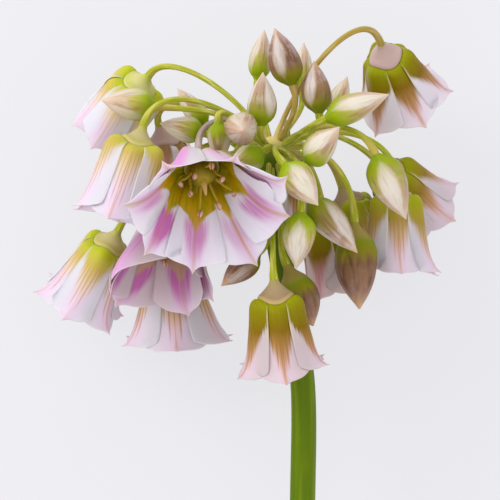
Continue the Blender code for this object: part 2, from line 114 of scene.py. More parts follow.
BUDS = (
    Bud("bud_01", (-0.30, 0.05, 0.95), 11.8, 3.1, 30, 50, 5, 1.0, 0.9),
    Bud("bud_02", (-0.10, 0.05, 1.0), 10.4, 2.9, 20, 20, 3, 0.9, 1.0),
    Bud("bud_03", (0.04, 0.0, 1.0), 10.5, 2.8, 60, 20, 3, 0.6, 0.9, 36),
    Bud("bud_04", (0.13, -0.1, 0.99), 10.5, 2.3, 0, 70, 5, 0.3, 0.7),
    Bud("bud_05", (0.02, -0.1, 1.0), 10.5, 2.2, 0, 40, 5, 0.2, 1.0),
    Bud("bud_06", (0.33, -0.1, 0.95), 9.2, 2.2, 0, 30, 5, 0.1, 0.8),
    Bud("bud_07", (0.93, 0.10, 0.36), 13.2, 2.8, 90, 25, 4, 0.25, 1.0, 60),
    Bud("bud_08", (0.64, 0.30, 0.71), 9.8, 2.9, 20, 10, 2, 0.25, 1.0),
    Bud("bud_09", (0.05, 0.98, -0.12), 10.5, 3.1, 50, 20, 3, 0.45, 0.5),
    Bud("bud_10", (0.60, 0.30, -0.74), 10.6, 3.2, 40, 10, 5, 0.1, 1.0),
    # bud_11's tone is set low partly to lighten its base, which lies in shade: painted light.
    Bud("bud_11", (-0.08, 0.0, -1.0), 11.0, 3.1, 60, -10, 5, 0.2, 1.0),
    Bud("bud_12", (0.66, 0.05, -0.75), 14.0, 3.1, 60, -10, 4, 0.65, 0.9, 75),
    Bud("bud_13", (0.42, 0.10, -0.91), 14.0, 3.6, 60, 40, 8, 0.4, 1.0),
    Bud("bud_14", (0.05, 0.05, -1.0), 17.4, 4.1, 60, 20, 10, 1.0, 0.0, 30),
    Bud("bud_15", (0.40, 0.0, -0.92), 13.2, 3.5, 20, -40, 6, 1.0, 0.0),
    Bud("bud_16", (-0.96, 0.20, 0.10), 10.8, 3.2, 60, 52, 6, 0.15, 0.5, 55),
    Bud("bud_17", (-0.98, 0.0, 0.22), 9.0, 2.6, 0, 20, 3, 0.15, 0.8),
    Bud("bud_18", (-0.62, -0.1, 0.78), 9.6, 2.2, 0, 20, 3, 0.2, 0.8),
    Bud("bud_19", (0.04, -0.25, -0.97), 8.4, 2.3, 0, 45, 4, 0.4, 0.7),
    Bud("bud_20", (-0.85, -0.15, -0.50), 8.8, 2.8, 0, 0, 3, 0.2, 0.7),
    Bud("bud_21", (-0.74, 0.0, -0.67), 9.8, 2.5, 30, -40, 6, 1.0, 0.3),
    Bud("bud_22", (0.0, -0.3, 0.95), 9.0, 2.3, 0, 40, 4, 0.3, 0.8),
    Bud("bud_23", (-0.35, -0.88, 0.30), 9.6, 2.6, 0, 10, 3, 0.3, 0.8),
    Bud("bud_24", (-0.10, -0.25, -0.96), 16.0, 3.9, 30, 20, 8, 0.8, 0.2),
)
OLD_BUDS = ("bud_14", "bud_15", "bud_24")  # these have a bell's receptacle
# The tepals of these bells stand unevenly; each row is one of them, round the bell. turn: degrees
# round the bell. length: as a share of the bell's. width: as a share of an even part of the ring.
# fold: how far the middle stands out near the tip. lip: how far the point turns back, in degrees.
# cup: how much further the olive reaches inside. droop: how much less the edges curl, in
# degrees. notch: how much the edges fall short of the middle.
UNEVEN_TEPALS = {
    "bell_01": (
        Tepal(-2, 1.20, 29, 37, 1.29, 0.3, 72, 1.1, 0.4, 0.0, -20, 1.8),
        Tepal(-4, 1.10, 28, 66, 1.60, 0.9, 10, 0.7, 0.0, -0.02),
        Tepal(2, 1.00, 28, 56, 1.25, 0.3, 0, 1.3, 0.0, -0.03),
        Tepal(-1, 0.97, 28, 54, 1.36, 0.3, 0, 0.8, 0.0, 0.05, 9, 0.1),
        Tepal(3, 1.05, 28, 62, 1.25, 0.3, 0, 0.4, 0.0, -0.08),
        Tepal(5, 1.03, 26, 72, 1.68, 1.0, 10, 0.8, 0.0, -0.06, 0, 0.8),
        Tepal(2, 1.22, 28, 43, 1.14, 0.8, 60, 0.55, 0.2, -0.08, -20, 1.2),
        Tepal(-6, 1.08, 30, 30, 1.22, 0.3, 72, 0.5, 0.4, 0.0, 7, 1.9),
    ),
    "bell_03": (
        Tepal(-10, 0.93, 10, 4, 1.30, 0.3, 8, 0.4, 0.1),
        Tepal(-20, 0.97, 4, 2, 1.80, 0.4, 10, 0.4, 0.1),
        Tepal(-6, 0.97, 1, 2, 1.75, 0.1, 6, 0.4, 0.1),
        Tepal(0, 1.0, 3, 30, 1.50, 0.3, 32, 0.4, 0.1),
        Tepal(-2, 1.02, 3, 30, 1.30, 0.3, 28, 0.4, 0.1),
        Tepal(-4, 1.0, 3, 24, 1.50, 0.3, 24, 0.4, 0.1),
    ),
    "bell_04": (
        Tepal(34, 1.12, 20, 4, 1.95, 0.3, 10, 1.2, 0.3),
        Tepal(14, 1.13, 18, -2, 1.25, 0.5, 6, 1.4, 0.4),
        Tepal(-7, 1.06, 24, 24, 1.35, 0.3, 20, 1.3, 0.0),
        Tepal(8, 1.05, 12, 44, 1.50, 0.3, 28, 1.0, 0.0),
        Tepal(-12, 0.96, 17, 22, 1.45, 0.3, 10, 0.7, 0.0, 0.0, 0, 0.5),
        Tepal(-6, 0.88, 13, 14, 1.70, 0.3, 10, 1.1, 0.0),
    ),
}
# The front bell's stamens: where each stands round the bell, in degrees, and how far out.
FRONT_STAMENS = (
    (36, 5.0), (70, 2.9), (138, 5.9), (180, 5.0), (222, 5.7), (273, 4.0), (315, 5.9), (357, 4.0),
)


def colour(red, green, blue):
    """A screen colour, 0 to 255, as the linear light that Blender's sockets hold."""
    shares = [channel / 255.0 for channel in (red, green, blue)]
    return tuple(s / 12.92 if s <= 0.04045 else ((s + 0.055) / 1.055) ** 2.4 for s in shares)


def grown(place):
    right, front, up = place
    return Vector((right, -front, up))


# Where things stand in the frame.
LEAN = math.asin((HEAD_HEIGHT - STEM_RADIUS) / STEM_CUT)
TURN = Matrix.Rotation(LEAN - math.pi / 2, 4, "X")


def foot_in_frame(node, axis):
    """The centre of the flat foot of a CAD node, in metres. axis points from it into the node."""
    points = np.array([v.co[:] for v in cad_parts[node].data.vertices])
    depth = points @ np.array(axis)
    foot = np.unique(points[depth < depth.min() + 0.5 * MM], axis=0)
    return Vector(foot.mean(axis=0))


CUT_END = foot_in_frame("scape", TURN.to_3x3() @ Vector((0.0, 0.0, 1.0)))
KNOB = CUT_END - TURN @ (grown((STEM_SWAY[-1][0], 0.0, -STEM_CUT)) * MM)
PLANT = Matrix.Translation(KNOB) @ TURN @ Matrix.Scale(MM, 4)


def axis_of(flower):
    return grown(flower.faces).normalized()


def node_of(flower):
    """The CAD node whose flat foot the flower's pedicel meets."""
    return flower.name + "_heart" if flower in BELLS else flower.name


def seat_of(flower):
    """Where the flower's pedicel ends, in mm from the knob, as its CAD node shows it."""
    axis = axis_of(flower)
    return PLANT.inverted() @ foot_in_frame(node_of(flower), TURN.to_3x3() @ axis) - axis * GAP


def flower_matrix(flower):
    """The flower's own frame in mm: its origin at the seat, +Z where it looks, +X to the front."""
    axis = axis_of(flower)
    front = Vector((0.0, -1.0, 0.0))
    side = (front - axis * front.dot(axis)).normalized()
    turned = Matrix.Rotation(math.radians(flower.roll), 3, axis) @ side
    basis = Matrix((turned, axis.cross(turned), axis)).transposed()
    return Matrix.Translation(seat_of(flower)) @ basis.to_4x4()


def placed(points, matrix):
    """An array of points in mm, turned and moved by the matrix and laid down with the plant."""
    whole = np.array(PLANT @ matrix)
    flat = np.asarray(points, float).reshape(-1, 3)
    return flat @ whole[:3, :3].T + whole[:3, 3]


# Shapes.


def smooth(value, low, high):
    share = np.clip((value - low) / (high - low), 0.0, 1.0)
    return share * share * (3 - 2 * share)


def bezier(a, b, c, d, times):
    rest = 1 - times
    return a * rest**3 + b * (3 * rest**2 * times) + c * (3 * rest * times**2) + d * times**3


def through(points, steps):
    """A smooth line through the given points, which may have any number of values each."""
    points = np.asarray(points, float)
    ends = np.vstack([2 * points[0] - points[1], points, 2 * points[-1] - points[-2]])
    times = np.arange(steps)[:, None] / steps
    parts = [
        bezier(b, b + (c - a) / 6, c - (d - b) / 6, c, times)
        for a, b, c, d in zip(ends, ends[1:], ends[2:], ends[3:])
    ]
    return np.vstack([*parts, points[-1:]])


def shell_faces(rows, columns):
    """Faces of a thin closed shell: an outer grid, an inner one after it, and the rim between."""
    grid = np.arange(rows * columns).reshape(rows, columns)
    a, b, c, d = grid[:-1, :-1], grid[:-1, 1:], grid[1:, 1:], grid[1:, :-1]
    outer = np.stack([a, b, c, d], -1).reshape(-1, 4)
    inner = outer[:, ::-1] + grid.size
    border = np.concatenate([grid[0], grid[1:, -1], grid[-1, -2::-1], grid[-2:0:-1, 0]])
    ahead = np.roll(border, -1)
    rim = np.stack([ahead, border, border + grid.size, ahead + grid.size], -1)
    return np.concatenate([outer, inner, rim])


def ring_faces(rows, columns):
    """Faces of a closed turned skin of rings, with a pole point after the last ring at each end."""
    grid = np.arange(rows * columns).reshape(rows, columns)
    beside = np.roll(grid, -1, axis=1)
    skin = np.stack([grid[:-1], beside[:-1], beside[1:], grid[1:]], -1).reshape(-1, 4).tolist()
    first, last = grid.size, grid.size + 1
    skin += [[first, b, a] for a, b in zip(grid[0], beside[0])]
    skin += [[last, a, b] for a, b in zip(grid[-1], beside[-1])]
    return [[int(i) for i in face] for face in skin]


def turned_points(reach, height, low, high):
    """The points of rings about +Z, given a row for each ring, and of a pole at each end."""
    angles = np.arange(reach.shape[1]) * 2 * math.pi / reach.shape[1]
    rings = np.stack([reach * np.cos(angles), reach * np.sin(angles), height], -1)
    return np.concatenate([rings.reshape(-1, 3), [[0.0, 0.0, low], [0.0, 0.0, high]]])


def new_object(name, data):
    thing = bpy.data.objects.new(name, data)
    bpy.context.scene.collection.objects.link(thing)
    return thing


def make_piece(name, points, faces, fields, material):
    """A smooth mesh object with its place in its mesh and one value a point in each field."""
    mesh = bpy.data.meshes.new(name)
    mesh.from_pydata(points.tolist(), [], faces)
    for field, values in fields.items():
        values = np.asarray(values, np.float32)
        kind, key = ("FLOAT", "value") if values.ndim == 1 else ("FLOAT_VECTOR", "vector")
        mesh.attributes.new(field, kind, "POINT").data.foreach_set(key, values.ravel())
    mesh.shade_smooth()
    mesh.update()
    mesh.materials.append(material)
    return new_object(name, mesh)


def hand_over(piece, slot, *nodes):
    """The finished piece rides on the plant and stands for its CAD nodes."""
    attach(piece, BODY)
    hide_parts(*nodes)


# Materials.


class Nodes:
    """A node tree. The sums, too, add one node each and give its first output."""

    def put(self, socket, value):
        if isinstance(value, bpy.types.NodeSocket):
            self.tree.links.new(value, socket)
        elif isinstance(value, tuple) and socket.type == "RGBA":
            socket.default_value = (*value, 1.0)
        else:
            socket.default_value = value

    def add(self, kind, settings=None, **values):
        """Makes a node and gives its first output. In a value's name, _ stands for a space."""
        node = self.tree.nodes.new(kind)
        for name, setting in (settings or {}).items():
            setattr(node, name, setting)
        for name, value in values.items():
            self.put(node.inputs[name.replace("_", " ")], value)
        return node.outputs[0]

    def fill(self, result, values):
        """Puts the values into the inputs of the node that the result comes from, in order."""
        for socket, value in zip(result.node.inputs, values):
            self.put(socket, value)
        return result

    def reckon(self, operation, *values):
        return self.fill(self.add("ShaderNodeMath", {"operation": operation}), values)

    def times(self, first, second):
        return self.reckon("MULTIPLY", first, second)

    def less(self, first, second):
        return self.reckon("SUBTRACT", first, second)

    def scaled(self, value, factor, added):
        return self.reckon("MULTIPLY_ADD", value, factor, added)

    def point(self, *values):
        return self.fill(self.add("ShaderNodeCombineXYZ"), values)

    def parts(self, vector):
        """The three numbers of a vector."""
        return self.add("ShaderNodeSeparateXYZ", Vector=vector).node.outputs


class Finish(Nodes):
    """The nodes of a material."""

    def __init__(self, name, roughness):
        self.material = bpy.data.materials.new(name)
        self.material.use_nodes = True
        self.tree = self.material.node_tree
        self.skin = self.tree.nodes["Principled BSDF"].inputs
        self.put(self.skin["Roughness"], roughness)
        self.put(self.skin["Specular IOR Level"], 0.1)

    def read(self, field, output="Fac"):
        return self.add("ShaderNodeAttribute", {"attribute_name": field}).node.outputs[output]

    def ease(self, value, low, high):
        """Runs smoothly from 0 at low to 1 at high."""
        soft = {"interpolation_type": "SMOOTHSTEP"}
        return self.add("ShaderNodeMapRange", soft, Value=value, From_Min=low, From_Max=high)

    def blend(self, share, first, second):
        node = self.tree.nodes.new("ShaderNodeMix")
        node.data_type = "RGBA"
        colours = [socket for socket in node.inputs if socket.type == "RGBA"]
        self.put(node.inputs["Factor"], share)
        self.put(colours[0], first)
        self.put(colours[1], second)
        return next(socket for socket in node.outputs if socket.type == "RGBA")

    def ramp(self, value, *stops):
        """Runs through numbers or screen colours, each given after the value where it stands."""
        low, high = stops[0][0], stops[-1][0]
        share = self.reckon("DIVIDE", self.less(value, low), high - low)
        result = self.fill(self.add("ShaderNodeValToRGB"), [share])
        row = result.node.color_ramp.elements
        while len(row) < len(stops):
            row.new(1.0)
        most = max(stop[1] for stop in stops) if len(stops[0]) == 2 else None
        for element, (place, *stop) in zip(row, stops):
            element.position = (place - low) / (high - low)
            element.color = (*(colour(*stop) if most is None else (stop[0] / most,) * 3), 1.0)
        return result if most is None else self.times(result, most)

    def object_point(self):
        return self.add("ShaderNodeTexCoord").node.outputs["Object"]

    def noise(self, point, scale, detail=2.0, rough=0.5):
        values = {"Vector": point, "Scale": scale, "Detail": detail, "Roughness": rough}
        return self.add("ShaderNodeTexNoise", **values)

    def bump(self, height, strength, distance):
        values = {"Height": height, "Strength": strength, "Distance": distance}
        self.put(self.skin["Normal"], self.add("ShaderNodeBump", **values))

    def translucent(self, weight, depth, tint):
        """Lets light through a thin or juicy part."""
        self.put(self.skin["Subsurface Weight"], weight)
        self.put(self.skin["Subsurface Radius"], tint)
        self.put(self.skin["Subsurface Scale"], depth)

    def done(self, paint):
        self.put(self.skin["Base Color"], paint)
        return self.material


def tepal_finish(colours):
    """White to lilac tepals with an olive base that frays into brown and pink veins."""
    look = Finish("tepal_skin", 0.42)
    white, lilac = tuple(colours.white), tuple(colours.lilac)
    pink, magenta = tuple(colours.pink), tuple(colours.magenta)
    across, along = look.read("across"), look.read("along")
    inside, tone = look.read("inside"), look.read("tone")
    blush, own = look.read("blush"), look.read("own")
    off = look.reckon("ABSOLUTE", across)
    fine = look.noise(look.point(look.times(across, 9.0), along, own), 1.6, 3.0)
    coarse = look.noise(look.point(look.times(across, 2.5), along, own), 1.0, 2.0)
    passed = look.reckon("ADD", along, look.read("fade"))
    mature = look.ease(tone, 0.15, 0.85)
    soft = look.read("soft")
    fray = look.scaled(mature, 0.12, 0.09)
    faint = look.scaled(soft, -0.5, 1.0)
    fray = look.times(fray, faint)
    reach = look.scaled(look.less(fine, 0.5), fray, passed)
    side = look.scaled(look.less(coarse, 0.5), 0.22, off)

    # What looks out of the bell.
    fresh = look.ramp(
        reach,
        (0.0, 184, 206, 46), (0.16, 186, 194, 34), (0.32, 204, 182, 92), (0.50, 224, 198, 166),
        (0.75, 236, 204, 212),
    )
    ripe = look.ramp(
        reach,
        (0.0, 150, 158, 0), (0.14, 138, 128, 0), (0.34, 130, 100, 0), (0.54, 172, 130, 80),
        (0.75, 202, 156, 138),
    )
    band = look.blend(mature, fresh, ripe)
    red = look.times(look.ease(along, 0.40, 0.65), look.ease(blush, 0.6, 1.0))
    band = look.blend(red, band, pink)
    width = look.ramp(
        reach,
        (0.0, 1.30), (0.24, 1.02), (0.36, 0.60), (0.48, 0.42), (0.62, 0.24), (0.82, 0.0),
    )
    inward = look.less(width, side)
    crisp = look.scaled(mature, 0.55, 0.45)
    crisp = look.times(crisp, faint)
    in_band = look.ease(look.times(inward, crisp), -0.14, 0.14)
    flush = look.times(look.ease(side, 0.66, 0.05), look.ease(along, 0.34, 0.66))
    # Outer white by tone: older bells are greyer and pinker. It is kept darker than the inside
    # white, and darker still for the middle and late tones of the bells low in the head; that part
    # is painted shade.
    petal = look.ramp(
        tone,
        (0.1, 224, 221, 228), (0.55, 208, 198, 205), (0.80, 200, 184, 186),
        (0.92, 204, 180, 176), (1.0, 228, 216, 224),
    )
    tinge = look.times(flush, look.scaled(mature, -0.4, 0.75))
    petal = look.blend(tinge, petal, lilac)
    outer = look.blend(in_band, petal, band)
    between = 0.17  # from one stripe to the next, as a share of half a tepal's width
    wave = look.reckon("COSINE", look.times(side, 2 * math.pi / between))
    stripe = look.times(look.ease(wave, 0.2, 0.95), look.ease(passed, 0.24, 0.42))
    room = look.less(look.scaled(side, -1.25, 1.0), along)
    stripe = look.times(stripe, look.ease(room, -0.04, 0.14))
    vein = look.blend(look.ease(along, 0.5, 0.9), colour(150, 108, 34), colour(190, 140, 104))
    late = look.ease(look.read("fade"), 0.2, 0.4)
    stripe = look.times(stripe, look.scaled(mature, 0.3, 0.45))
    stripe = look.times(stripe, look.less(1.0, late))
    stripe = look.times(stripe, look.scaled(soft, -0.7, 1.0))
    outer = look.blend(stripe, outer, vein)
    wash = look.times(look.ease(side, 0.56, 0.06), look.ease(along, 0.0, 0.3))
    wash = look.times(wash, look.times(late, blush))
    outer = look.blend(wash, outer, pink)
    seam = look.times(look.ease(off, 0.86, 1.0), look.ease(along, 0.02, 0.16))
    seam = look.times(seam, look.ease(along, 0.66, 0.3))
    outer = look.blend(look.times(seam, 0.7), outer, colour(218, 206, 160))

    # What looks into it.
    moss = look.noise(look.point(look.times(across, 1.5), along, own), 4.0, 2.0)
    # The olive inside the bell. Its darkest stop, at the root round the foot of the ovary, is
    # painted shade.
    cup = look.ramp(
        along,
        (0.0, 84, 78, 0), (0.10, 136, 114, 2), (0.20, 186, 154, 6), (0.30, 204, 166, 24),
        (0.50, 204, 160, 76),
    )
    brown = look.ramp(
        along,
        (0.0, 120, 92, 20), (0.4, 200, 166, 140),
    )
    browned = look.ease(tone, 0.74, 0.8)
    deep = look.less(along, look.read("cup"))
    deep = look.scaled(browned, -0.08, deep)
    smoother = look.scaled(look.less(fine, 0.5), 0.03, deep)
    width = look.ramp(
        smoother,
        (0.0, 1.4), (0.25, 1.25), (0.34, 0.46), (0.41, 0.22), (0.47, 0.12), (0.53, 0.0),
    )
    cup = look.blend(look.ease(moss, 0.45, 0.7), cup, colour(158, 158, 14))
    cup = look.blend(browned, cup, brown)
    in_cup = look.ease(look.less(width, side), -0.12, 0.12)
    width = look.ramp(
        along,
        (0.30, 0.62), (0.55, 0.48), (0.96, 0.10),
    )
    stripe = look.ease(look.less(width, side), -0.14, 0.12)
    stripe = look.times(stripe, look.ease(reach, 0.34, 0.50))
    stripe = look.times(stripe, look.ease(along, 1.02, 0.62))
    stripe = look.times(stripe, look.ease(fine, 0.0, 0.6))
    inner = look.blend(browned, white, colour(208, 194, 194))
    inner = look.blend(look.scaled(flush, 0.55, 0.2), inner, lilac)
    inner = look.blend(look.times(stripe, blush), inner, magenta)
    inner = look.blend(in_cup, inner, cup)
    rib = look.times(look.ease(off, 0.09, 0.02), look.ease(along, 0.38, 0.48))
    rib = look.times(rib, look.ease(along, 1.0, 0.7))
    inner = look.blend(look.times(rib, 0.22), inner, colour(178, 118, 134))

    paint = look.blend(inside, outer, inner)
    veins = look.noise(look.point(look.times(across, 30.0), along, own), 1.5, 1.0)
    pale = look.ease(along, 0.45, 0.7)
    shade = look.times(look.ease(veins, 0.52, 0.74), look.times(pale, 0.16))
    paint = look.blend(shade, paint, colour(206, 176, 200))
    look.bump(veins, 0.35, 0.00012)
    look.translucent(0.35, 0.0009, (1.0, 0.8, 0.7))
    return look.done(paint)


def heart_finish():
    """A beige and mauve receptacle, a green ovary and a pale yellow style."""
    look = Finish("heart_skin", 0.45)
    level, tone = look.read("level"), look.read("tone")
    patches = look.noise(look.object_point(), 420.0, 2.0)
    fresh = look.ramp(
        level,
        (0.0, 180, 186, 70), (2.0, 212, 206, 140), (3.4, 196, 196, 90), (4.2, 222, 212, 160),
    )
    ripe = look.ramp(
        level,
        (0.0, 166, 152, 84), (1.6, 168, 142, 112), (3.2, 158, 128, 98), (4.0, 204, 178, 120),
        (4.3, 214, 190, 130),
    )
    cone = look.blend(look.ease(tone, 0.1, 0.5), fresh, ripe)
    cone = look.blend(look.ease(tone, 0.84, 1.0), cone, colour(194, 162, 164))
    cone = look.blend(look.times(patches, 0.3), cone, colour(180, 176, 110))
    ovary = look.blend(patches, colour(120, 100, 8), colour(136, 126, 24))
    style = look.blend(look.ease(level, 8.4, 10.4), colour(190, 168, 60), colour(226, 196, 116))
    paint = look.blend(look.ease(level, 4.3, 4.7), cone, ovary)
    paint = look.blend(look.ease(level, 7.4, 8.4), paint, style)
    look.bump(look.noise(look.object_point(), 1600.0, 2.0), 0.2, 0.0001)
    look.translucent(0.2, 0.001, (1.0, 0.8, 0.5))
    return look.done(paint)


def bud_finish(colours):
    """Cream inner tepals between outer ones that run from green to mauve brown."""
    look = Finish("bud_skin", 0.42)
    across, along, tone = look.read("across"), look.read("along"), look.read("tone")
    own, pale = look.read("own"), look.read("blush")
    right, front, _ = look.parts(look.read("around", "Vector"))
    low = look.reckon("ADD", look.times(along, 0.5), own)
    veins = look.noise(look.point(right, front, low), 4.5, 3.0)
    reach = look.scaled(look.less(veins, 0.5), 0.26, along)
    fresh = look.ramp(
        reach,
        (0.0, 140, 168, 8), (0.22, 162, 184, 26), (0.42, 190, 190, 84), (0.62, 212, 186, 152),
        (0.95, 222, 200, 178),
    )
    ripe = look.ramp(
        reach,
        (0.0, 122, 134, 6), (0.18, 130, 122, 22), (0.34, 126, 92, 62), (0.75, 150, 114, 94),
        (0.98, 196, 160, 122),
    )
    outer = look.blend(tone, fresh, ripe)
    specks = look.noise(look.object_point(), 330.0, 3.0, 0.65)
    # Pale lilac-grey patches on the outer tepals: partly mottling, partly a painted sheen.
    mottle_and_sheen = look.times(look.ease(specks, 0.44, 0.66), look.ease(along, 0.2, 0.6))
    mottle_and_sheen = look.times(mottle_and_sheen, look.scaled(pale, 0.34, 0.1))
    outer = look.blend(mottle_and_sheen, outer, colour(214, 200, 204))
    dark = look.blend(tone, colour(164, 120, 70), colour(94, 60, 42))
    lines = look.times(look.ease(veins, 0.48, 0.66), look.ease(along, 0.14, 0.4))
    lines = look.times(lines, look.ease(along, 0.94, 0.6))
    outer = look.blend(look.times(lines, 0.62), outer, dark)
    edge = look.times(look.ease(across, 0.70, 0.96), look.ease(along, 0.12, 0.3))
    edge = look.times(edge, look.times(pale, 0.45))
    outer = look.blend(edge, outer, colour(216, 194, 168))
    outer = look.blend(look.times(look.read("cone"), 0.75), outer, colour(164, 140, 78))
    pure = look.blend(tone, tuple(colours.cream), colour(206, 194, 188))
    root = look.blend(0.4, outer, pure)
    cream = look.blend(look.ease(reach, 0.16, 0.5), root, pure)
    cream = look.blend(look.times(lines, 0.28), cream, dark)
    ragged = look.scaled(look.less(specks, 0.5), 0.4, across)
    shown = look.times(look.ease(ragged, 0.86, 1.12), pale)
    tip = look.ease(along, 0.76, 0.98)
    shown = look.times(shown, look.scaled(tip, -0.65, 1.0))
    paint = look.blend(shown, outer, cream)
    look.bump(veins, 0.3, 0.00015)
    look.translucent(0.2, 0.001, (1.0, 0.8, 0.6))
    return look.done(paint)


def stalk_finish(name, leaf, light, worn, fade):
    """Yellow green stalks with faint stripes; they fade to cream at the knob."""
    look = Finish(name, 0.38)
    right, front, _ = look.parts(look.read("around", "Vector"))
    along = look.read("along")
    grain = look.point(right, front, look.times(along, 3.0))
    stripes = look.noise(grain, 2.4, 3.0)
    patches = look.noise(look.object_point(), 90.0, 2.0)
    paint = look.blend(look.ease(stripes, 0.40, 0.72), leaf, light)
    paint = look.blend(look.ease(patches, 0.50, 0.75), paint, worn)
    paint = look.blend(look.ease(along, *fade), paint, colour(232, 210, 132))
    look.bump(stripes, 0.25, 0.0002)
    look.translucent(0.2, 0.0012, (1.0, 0.9, 0.4))
    return look.done(paint)


def stamen_finish(name, first, second, groove):
    """Filaments and anthers; the groove of an anther is darker."""
    look = Finish(name, 0.5)
    speckle = look.noise(look.object_point(), 1500.0, 2.0)
    look.bump(speckle, 0.3, 0.0001)
    paint = look.blend(speckle, first, second)
    return look.done(look.blend(look.ease(look.read("pit"), 0.5, 1.0), paint, groove))


def floor_finish():
    look = Finish("pale_floor", 0.9)
    look.put(look.skin["Emission Color"], colour(238, 238, 241))
    look.put(look.skin["Emission Strength"], 0.77)
    grain = look.noise(look.object_point(), 40.0, 3.0)
    return look.done(look.blend(grain, colour(112, 112, 114), colour(116, 116, 118)))


# Geometry node trees for what follows a line.


class Tree(Nodes):
    """A geometry node tree. Its inputs are given by name, each with its kind."""

    def __init__(self, name, **inputs):
        self.tree = bpy.data.node_groups.new(name, "GeometryNodeTree")
        for label, kind in {"Geometry": "Geometry", **inputs}.items():
            kind = "NodeSocket" + kind
            label = label.replace("_", " ")
            self.tree.interface.new_socket(label, in_out="INPUT", socket_type=kind)
        self.tree.interface.new_socket(
            "Geometry", in_out="OUTPUT", socket_type="NodeSocketGeometry"
        )
        self.given = self.tree.nodes.new("NodeGroupInput").outputs

    def keep(self, geometry, name, value, kind, domain="POINT"):
        """Stores the value on the geometry under the name."""
        settings = {"data_type": kind, "domain": domain}
        values = {"Geometry": geometry, "Name": name, "Value": value}
        return self.add("GeometryNodeStoreNamedAttribute", settings, **values)

    def circle(self, sides):
        return self.add("GeometryNodeCurvePrimitiveCircle", Resolution=sides, Radius=1.0)

    def tube(self, lines, profile):
        """Skins the lines, each as thick as its points' radius."""
        values = {"Curve": lines, "Profile_Curve": profile, "Fill_Caps": True}
        radius = self.add("GeometryNodeInputRadius")
        return self.add("GeometryNodeCurveToMesh", Scale=radius, **values)

    def end(self, geometry, *materials):
        """Makes the geometry real and paints it. Each material has the parts that it is for."""
        geometry = self.add("GeometryNodeRealizeInstances", Geometry=geometry)
        for label, chosen in materials:
            values = {"Geometry": geometry, "Selection": chosen, "Material": self.given[label]}
            geometry = self.add("GeometryNodeSetMaterial", **values)
        self.tree.links.new(geometry, self.tree.nodes.new("NodeGroupOutput").inputs[0])
        return self.tree


def stalk_tree():
    """Skins lines with a ribbed tube as thick as their points' radius."""
    tree = Tree("stalk", Sides="Int", Ribs="Int", Rib_Depth="Float", Material="Material")
    share = tree.add("GeometryNodeSplineParameter")
    rib = tree.reckon("COSINE", tree.times(tree.times(share, 2 * math.pi), tree.given["Ribs"]))
    scale = tree.scaled(tree.less(rib, 1.0), tree.given["Rib Depth"], 1.0)
    place = tree.add("GeometryNodeInputPosition")
    pushed = tree.add("ShaderNodeVectorMath", {"operation": "SCALE"}, Vector=place, Scale=scale)
    circle = tree.circle(tree.given["Sides"])
    ribbed = tree.add("GeometryNodeSetPosition", Geometry=circle, Position=pushed)
    around = tree.keep(ribbed, "around", place, "FLOAT_VECTOR")
    along = tree.keep(tree.given["Geometry"], "along", share, "FLOAT")
    return tree.end(tree.tube(along, around), ("Material", True))


def stamen_tree():
    """Skins each line as a tapered filament and sets a grooved anther on its far end."""
    kinds = {"Filament": "Material", "Anther": "Material", "Seed": "Int"}
    tree = Tree("stamens", Filament_Sides="Int", Anther_Length="Float", **kinds)
    lines = tree.given["Geometry"]
    filament = tree.tube(lines, tree.circle(tree.given["Filament Sides"]))
    ball = tree.add("GeometryNodeMeshUVSphere", Segments=16, Rings=10, Radius=1.0)
    right, front, up = tree.parts(tree.add("GeometryNodeInputPosition"))
    groove = tree.reckon("EXPONENT", tree.times(tree.times(right, right), -14.0))
    flat = tree.times(front, tree.scaled(groove, -0.28, 0.62))
    shaped = tree.point(tree.times(right, 0.66), flat, up)
    pod = tree.add("GeometryNodeSetPosition", Geometry=ball, Position=shaped)
    pitted = tree.keep(pod, "pit", groove, "FLOAT")
    tangent = tree.add("GeometryNodeInputTangent")
    aim = tree.add("FunctionNodeAlignRotationToVector", {"axis": "Z"}, Vector=tangent)
    limits = {"Min": (-0.5, -0.5, 0.0), "Max": (0.5, 0.5, 6.0), "Seed": tree.given["Seed"]}
    spin = tree.add("FunctionNodeRandomValue", {"data_type": "FLOAT_VECTOR"}, **limits)
    local = tree.add("FunctionNodeEulerToRotation", Euler=spin)
    own = {"rotation_space": "LOCAL"}
    turned = tree.add("FunctionNodeRotateRotation", own, Rotation=aim, Rotate_By=local)
    size = tree.point(*[tree.given["Anther Length"]] * 3)
    ends = tree.add("GeometryNodeCurveEndpointSelection", Start_Size=0, End_Size=1)
    values = {"Points": lines, "Selection": ends, "Instance": pitted}
    anthers = tree.add("GeometryNodeInstanceOnPoints", Rotation=turned, Scale=size, **values)
    marked = tree.keep(anthers, "is_anther", True, "BOOLEAN", "INSTANCE")
    both = tree.add("GeometryNodeJoinGeometry", Geometry=filament)
    tree.put(both.node.inputs[0], marked)
    chosen = {"data_type": "BOOLEAN"}
    chosen = tree.add("GeometryNodeInputNamedAttribute", chosen, Name="is_anther")
    return tree.end(both, ("Filament", True), ("Anther", chosen))


def draw_lines(name, lines):
    """A curve object with one spline for each array of (x, y, z, radius) rows in mm."""
    curve = bpy.data.curves.new(name, "CURVE")
    curve.dimensions = "3D"
    for line in lines:
        spline = curve.splines.new("POLY")
        spline.points.add(len(line) - 1)
        points = placed(line[:, :3], Matrix.Identity(4))
        spline.points.foreach_set("co", np.c_[points, np.ones(len(line))].ravel())
        spline.points.foreach_set("radius", line[:, 3] * MM)
    return new_object(name, curve)


